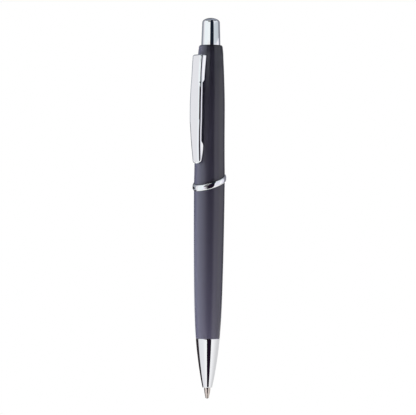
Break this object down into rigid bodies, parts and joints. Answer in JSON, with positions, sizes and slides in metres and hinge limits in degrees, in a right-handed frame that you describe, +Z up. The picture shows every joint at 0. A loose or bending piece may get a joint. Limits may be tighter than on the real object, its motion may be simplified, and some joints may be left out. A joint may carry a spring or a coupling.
{
  "type": "retractable ballpoint pen",
  "caption": "Retractable ballpoint pen with a slim bulged barrel, slanted centre ring, sprung pocket clip, cone nose and push button.",
  "frame": {"origin": "where the clip's grip pinches a pocket against the upper barrel, midway between the clip's flanges and the barrel", "axes": "+Z up along the pen from the writing tip to the push button, -Y from the barrel out through the clip, +X to the right of the clip seen from its front"},
  "size_m": [0.0124, 0.0141, 0.1398],
  "materials": {
    "satin_grey_plastic": "satin dark grey with a violet tint",
    "chrome_plate": "bright chrome",
    "black_plastic": "moulded",
    "white_plastic": "moulded",
    "clear_plastic": "translucent",
    "blue_ink": "wet ink",
    "nickel_silver": "turned, bright",
    "ball_steel": "ground",
    "spring_steel": "drawn wire"
  },
  "bodies": {
    "barrel": {"lower_barrel": "satin_grey_plastic", "upper_barrel": "satin_grey_plastic", "centre_ring": "chrome_plate", "barrel_coupling": "black_plastic", "cam_guide_sleeve": "black_plastic", "return_spring": "spring_steel"},
    "nose": {"nose_cone": "chrome_plate"},
    "clip": {"pocket_clip": "chrome_plate"},
    "plunger": {"push_button": "chrome_plate", "thrust_sleeve": "white_plastic"},
    "refill": {"refill_tube": "clear_plastic", "ink_column": "blue_ink", "refill_end_plug": "white_plastic", "tip_adaptor": "white_plastic", "writing_tip": "nickel_silver"},
    "cam": {"cam_rotor": "white_plastic"},
    "ball": {"tip_ball": "ball_steel"}
  },
  "joints": [
    {"name": "button_press", "type": "slide", "parent": "barrel", "child": "plunger", "axis": [0, 0, 1], "range_m": [-0.0012, 0.005], "stiffness_N_per_m": 200},
    {"name": "refill_slide", "type": "slide", "parent": "barrel", "child": "refill", "axis": [0, 0, 1], "range_m": [-0.0012, 0.005], "deforming": ["return_spring"]},
    {"name": "cam_turn", "type": "hinge", "parent": "refill", "child": "cam", "pos_m": [0, 0.00554, 0.0175], "axis": [0, 0, 1], "continuous": true},
    {"name": "ball_roll", "type": "hinge", "parent": "refill", "child": "ball", "pos_m": [0, 0.00554, -0.0914], "axis": [1, 0, 0], "continuous": true},
    {"name": "clip_flex", "type": "hinge", "parent": "barrel", "child": "clip", "pos_m": [0, 0.00129, 0.03388], "axis": [-1, 0, 0], "range_deg": [0, 4.5], "stiffness_Nm_per_rad": 0.2},
    {"name": "nose_off", "type": "slide", "parent": "barrel", "child": "nose", "axis": [0, 0, -1], "range_m": [0, 0.026]}
  ],
  "couplings": [
    {"joint": "refill_slide", "follows": "button_press", "ratio": 1}
  ]
}
